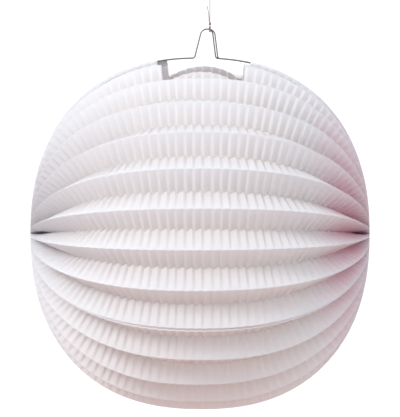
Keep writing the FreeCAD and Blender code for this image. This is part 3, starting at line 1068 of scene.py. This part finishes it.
def add_node(
    material: bpy.types.Material,
    kind: str,
    settings: Mapping[str, Any] | None = None,
    inputs: Mapping[str | int, Any] | None = None,
) -> bpy.types.Node:
    """Adds a shader node with its settings and its inputs.

    Args:
        material: the material it goes in.
        kind: the node's type, such as ShaderNodeMix.
        settings: properties of the node.
        inputs: a value or another node's output for each named or numbered input.

    Returns:
        The node.
    """
    tree = material.node_tree
    node = tree.nodes.new(kind)
    for name, value in (settings or {}).items():
        setattr(node, name, value)
    for socket, value in (inputs or {}).items():
        if isinstance(value, bpy.types.NodeSocket):
            tree.links.new(value, node.inputs[socket])
        else:
            node.inputs[socket].default_value = value
    return node


def new_material(name: str) -> bpy.types.Material:
    """An empty node material."""
    material = bpy.data.materials.new(name)
    material.use_nodes = True
    material.node_tree.nodes.clear()
    return material


@dataclass(frozen=True)
class CrimpedPaper:
    """Thin uncoated white paper, crimped, with painted shade in its folds and painted pink at one pole.

    It has hardly any gloss, lets nearly half of the light through, shows its fibres as a faint relief,
    and has painted shade: a little darker in the valley folds, and pink towards the right pole, most in
    the valleys.
    """

    middle: np.ndarray
    half_width: float = 0.120
    white: str = "F6F7FA"
    # painted shade: the colour the valley folds are painted in place of their shade
    painted_valley_shade: str = "F0EDED"
    # painted pink shade: mixed in towards the right pole, most in the valley folds
    painted_pink_shade: str = "EA94B2"
    roughness: float = 0.9
    see_through: float = 0.47
    fibre: float = 0.0006
    cloud: float = 0.012
    pink_shade_from: float = 0.6  # where the painted pink starts and is full, in half widths
    pink_shade_full: float = 1.02

    def build(self) -> bpy.types.Material:
        """Mixes white with painted shade and painted pink, and the surface with its back light.

        Returns:
            The material.
        """
        made = new_material("uncoated_white_paper_crimped")
        place = add_node(made, "ShaderNodeTexCoord")
        fold = add_node(made, "ShaderNodeAttribute", {"attribute_name": "fold"})
        parts = add_node(made, "ShaderNodeSeparateXYZ", inputs={0: place.outputs["Object"]})
        cloud = add_node(
            made,
            "ShaderNodeTexNoise",
            inputs={"Vector": place.outputs["Object"], "Scale": 1 / self.cloud, "Detail": 2.0},
        )
        middle_x = float(self.middle[0])
        # Painted pink shade: pink towards the right pole, weighted to the valley folds by the fold
        # attribute.
        towards_pole = add_node(
            made,
            "ShaderNodeMapRange",
            {"interpolation_type": "SMOOTHSTEP"},
            {
                "Value": parts.outputs["X"],
                "From Min": middle_x + self.pink_shade_from * self.half_width,
                "From Max": middle_x + self.pink_shade_full * self.half_width,
            },
        )
        depth = add_node(
            made,
            "ShaderNodeMapRange",
            inputs={"Value": fold.outputs["Fac"], "To Min": 0.08, "To Max": 1.0},
        )
        pink_shade_reach = add_node(
            made,
            "ShaderNodeMath",
            {"operation": "MULTIPLY"},
            {0: towards_pole.outputs[0], 1: depth.outputs[0]},
        )
        uneven = add_node(
            made,
            "ShaderNodeMapRange",
            inputs={
                "Value": cloud.outputs["Fac"],
                "From Min": 0.3,
                "From Max": 0.7,
                "To Min": 0.7,
                "To Max": 1.1,
            },
        )
        pink_shade_share = add_node(
            made,
            "ShaderNodeMath",
            {"operation": "MULTIPLY"},
            {0: pink_shade_reach.outputs[0], 1: uneven.outputs[0]},
        )
        # Painted shade: the paper gets darker from the ridges to the valley folds.
        shaded = add_node(
            made,
            "ShaderNodeMix",
            {"data_type": "RGBA"},
            {0: fold.outputs["Fac"], 6: linear(self.white), 7: linear(self.painted_valley_shade)},
        )
        colour = add_node(
            made,
            "ShaderNodeMix",
            {"data_type": "RGBA"},
            {0: pink_shade_share.outputs[0], 6: shaded.outputs[2], 7: linear(self.painted_pink_shade)},
        )
        fibres = add_node(
            made,
            "ShaderNodeTexNoise",
            inputs={"Vector": place.outputs["Object"], "Scale": 1 / self.fibre, "Detail": 4.0},
        )
        bump = add_node(
            made,
            "ShaderNodeBump",
            inputs={"Strength": 0.12, "Distance": 0.0001, "Height": fibres.outputs["Fac"]},
        )
        surface = add_node(
            made,
            "ShaderNodeBsdfPrincipled",
            inputs={
                "Base Color": colour.outputs[2],
                "Roughness": self.roughness,
                "IOR": 1.45,
                "Specular IOR Level": 0.15,
                "Normal": bump.outputs[0],
            },
        )
        through = add_node(
            made,
            "ShaderNodeBsdfTranslucent",
            inputs={"Color": colour.outputs[2], "Normal": bump.outputs[0]},
        )
        both = add_node(
            made,
            "ShaderNodeMixShader",
            inputs={0: self.see_through, 1: surface.outputs[0], 2: through.outputs[0]},
        )
        add_node(made, "ShaderNodeOutputMaterial", inputs={"Surface": both.outputs[0]})
        return made


@dataclass(frozen=True)
class DrawnWire:
    """Bright steel wire, cold drawn: a grey metal with a fine, faint mottle and a soft shine."""

    colour: str = "8E8A88"
    dark: str = "6F6B69"
    roughness: float = 0.34
    drawing: float = 0.0007

    def build(self) -> bpy.types.Material:
        """Metal whose roughness and colour vary with fine noise.

        Returns:
            The material.
        """
        made = new_material("steel_wire_cold_drawn")
        place = add_node(made, "ShaderNodeTexCoord")
        noise = add_node(
            made,
            "ShaderNodeTexNoise",
            inputs={"Vector": place.outputs["Object"], "Scale": 1 / self.drawing, "Detail": 3.0},
        )
        rough = add_node(
            made,
            "ShaderNodeMapRange",
            inputs={
                "Value": noise.outputs["Fac"],
                "To Min": self.roughness - 0.08,
                "To Max": self.roughness + 0.12,
            },
        )
        tone = add_node(
            made,
            "ShaderNodeMix",
            {"data_type": "RGBA"},
            {0: noise.outputs["Fac"], 6: linear(self.colour), 7: linear(self.dark)},
        )
        surface = add_node(
            made,
            "ShaderNodeBsdfPrincipled",
            inputs={"Base Color": tone.outputs[2], "Metallic": 1.0, "Roughness": rough.outputs[0]},
        )
        add_node(made, "ShaderNodeOutputMaterial", inputs={"Surface": surface.outputs[0]})
        return made


@dataclass(frozen=True)
class CottonThread:
    """Spun cotton, three plies twisted and dyed a dusty rose grey: matt, with a little fuzz."""

    colour: str = "A08A88"
    dark: str = "7C6766"
    fibre: float = 0.0001

    def build(self) -> bpy.types.Material:
        """Two tones mixed by fine noise, under a faint sheen.

        Returns:
            The material.
        """
        made = new_material("cotton_thread_twisted")
        place = add_node(made, "ShaderNodeTexCoord")
        noise = add_node(
            made,
            "ShaderNodeTexNoise",
            inputs={"Vector": place.outputs["Object"], "Scale": 1 / self.fibre, "Detail": 3.0},
        )
        tone = add_node(
            made,
            "ShaderNodeMix",
            {"data_type": "RGBA"},
            {0: noise.outputs["Fac"], 6: linear(self.colour), 7: linear(self.dark)},
        )
        surface = add_node(
            made,
            "ShaderNodeBsdfPrincipled",
            inputs={"Base Color": tone.outputs[2], "Roughness": 0.85, "Sheen Weight": 0.3},
        )
        add_node(made, "ShaderNodeOutputMaterial", inputs={"Surface": surface.outputs[0]})
        return made


# ---- The studio ----------------------------------------------------------------------------


@dataclass
class Studio:
    """A pale floor, a white surround and soft lamps, and the camera."""

    middle: np.ndarray
    distance: float = 2.25
    elevation: float = 5.0
    frame_height: float = 0.2957
    aim_above_middle: float = 0.0176
    floor_gap: float = 0.35
    ball_radius: float = 0.125
    sky: float = 1.0
    key: float = 1.7
    fill: float = 0.22
    warmth: float = 0.34
    warm_size: float = 0.7
    warm_colour: str = "FFA07C"
    surround_colour: str = "FCFDFF"
    # Painted shadow: a warm grey floor under the lantern, which also dims and warms the light it throws
    # up.
    floor_painted_shadow: str = "C0AAA2"
    floor_far: str = "FAFAFA"
    floor_fade: tuple[float, float] = (1.2, 2.2)  # from the painted shadow's colour to the far one
    floor_sides: int = 64

    def camera(self) -> None:
        """A long lens, a little above the ball's middle, with that height of view at the ball."""
        data = bpy.data.cameras.new("camera")
        data.sensor_width = 36.0
        data.lens = data.sensor_width * self.distance / self.frame_height
        data.clip_end = 100.0
        camera = bpy.data.objects.new("camera", data)
        bpy.context.scene.collection.objects.link(camera)
        tilt = math.radians(self.elevation)
        back = Vector((0, -math.cos(tilt), math.sin(tilt)))
        aim = Vector(self.middle) + Vector((0, 0, self.aim_above_middle / math.cos(tilt)))
        camera.location = Vector(self.middle) + back * self.distance
        camera.rotation_mode = "QUATERNION"
        camera.rotation_quaternion = (aim - camera.location).to_track_quat("-Z", "Y")
        bpy.context.scene.camera = camera

    def lamp(
        self, name: str, strength: float, colour: str, spread: float, direction: Sequence[float]
    ) -> None:
        """A sun lamp so wide that it works as a large soft box.

        Args:
            name: the lamp's name.
            strength: its strength.
            colour: its sRGB hex colour.
            spread: the angle that it fills, in degrees.
            direction: where the light comes from.
        """
        data = bpy.data.lights.new(name, "SUN")
        data.energy = strength
        data.color = linear(colour)[:3]
        data.angle = math.radians(spread)
        lamp = bpy.data.objects.new(name, data)
        bpy.context.scene.collection.objects.link(lamp)
        lamp.rotation_mode = "QUATERNION"
        lamp.rotation_quaternion = Vector(direction).to_track_quat("Z", "Y")

    def warm_fill(self) -> None:
        """A low, weak, rose-warm soft box under the ball, which lights its lower half."""
        data = bpy.data.lights.new("warm_fill", "AREA")
        data.shape = "DISK"
        data.size = self.warm_size
        data.energy = self.warmth
        data.color = linear(self.warm_colour)[:3]
        lamp = bpy.data.objects.new("warm_fill", data)
        bpy.context.scene.collection.objects.link(lamp)
        lamp.location = Vector(self.middle) - Vector((0, 0, self.ball_radius + 0.8 * self.floor_gap))
        lamp.rotation_mode = "QUATERNION"
        lamp.rotation_quaternion = Vector((0, 0, 1)).to_track_quat("-Z", "Y")
        lamp.visible_camera = False

    def surround(self) -> None:
        """An even white surround."""
        world = bpy.data.worlds.new("white_surround")
        world.use_nodes = True
        background = world.node_tree.nodes["Background"]
        background.inputs["Color"].default_value = linear(self.surround_colour)
        background.inputs["Strength"].default_value = self.sky
        bpy.context.scene.world = world

    def floor_finish(self) -> bpy.types.Material:
        """Pale matt backdrop paper: warm grey painted shadow under the lantern, white further out."""
        made = new_material("backdrop_paper_matt")
        place = add_node(made, "ShaderNodeTexCoord")
        centred = add_node(
            made,
            "ShaderNodeVectorMath",
            {"operation": "MULTIPLY"},
            {0: place.outputs["Object"], 1: (1.0, 1.0, 0.0)},
        )
        away = add_node(made, "ShaderNodeVectorMath", {"operation": "LENGTH"}, {0: centred.outputs[0]})
        share = add_node(
            made,
            "ShaderNodeMapRange",
            {"interpolation_type": "SMOOTHSTEP"},
            {
                "Value": away.outputs["Value"],
                "From Min": self.floor_fade[0],
                "From Max": self.floor_fade[1],
            },
        )
        # Painted shadow: warm grey near the lantern, fading to white further out.
        colour = add_node(
            made,
            "ShaderNodeMix",
            {"data_type": "RGBA"},
            {0: share.outputs[0], 6: linear(self.floor_painted_shadow), 7: linear(self.floor_far)},
        )
        surface = add_node(
            made,
            "ShaderNodeBsdfPrincipled",
            inputs={"Base Color": colour.outputs[2], "Roughness": 0.95, "Specular IOR Level": 0.1},
        )
        add_node(made, "ShaderNodeOutputMaterial", inputs={"Surface": surface.outputs[0]})
        return made

    def floor(self) -> None:
        """A wide disc, some way under the hanging ball."""
        height = self.middle[2] - self.ball_radius - self.floor_gap
        radius = np.array([0.02, 0.3, 0.8, 1.5, 3.0, 8.0, 40.0, 200.0])
        angle = np.arange(self.floor_sides) * TAU / self.floor_sides
        x = radius[:, None] * np.cos(angle)
        y = radius[:, None] * np.sin(angle)
        points = np.stack([x, y, np.full_like(x, height)], axis=-1).reshape(-1, 3)
        quads = grid_quads(len(radius), len(angle), round_columns=True)[:, ::-1]
        disc = mesh_piece("floor", points, quads, self.floor_finish())

    def build(self) -> None:
        """Sets the surround, the lamps, the floor, the camera and a plain view of colours."""
        self.surround()
        self.lamp("key", self.key, "FFFEFC", 22, (-0.74, -0.46, 0.58))
        self.lamp("fill", self.fill, "F6F9FF", 70, (0.75, -0.6, 0.35))
        self.warm_fill()
        self.floor()
        self.camera()
        bpy.context.scene.view_settings.view_transform = "Standard"


# ---- The lantern ---------------------------------------------------------------------------


def dress(node: str, material: bpy.types.Material) -> None:
    """Gives one of the frame's own pieces a finish."""
    piece = frame["nodes"][node]
    piece.data.materials.clear()
    piece.data.materials.append(material)


def main() -> None:
    """Builds the studio, the paper ball, its poles and its thread, and reports each piece."""
    fold_joint = next(joint for joint in frame["joints"] if joint["name"] == "pleat_fold_01")
    middle = np.array(fold_joint["pos_m"], float)
    paper = CrimpedPaper(middle).build()
    made = PaperBall(middle, paper).build()
    made += [PoleGather(middle, end, paper).build() for end in End]
    made += HangingThread(CottonThread().build()).build()
    wire = DrawnWire().build()
    for node in ("front_wire", "back_wire", "pole_pin_left", "pole_pin_right"):
        dress(node, wire)
        made.append(frame["nodes"][node])
    Studio(middle).build()
    for piece in made:
        log.info("%s: %d points", piece.name, len(piece.data.vertices))


if __name__ == "__main__":
    logging.basicConfig(level=logging.INFO, format="%(name)s %(message)s")
    main()
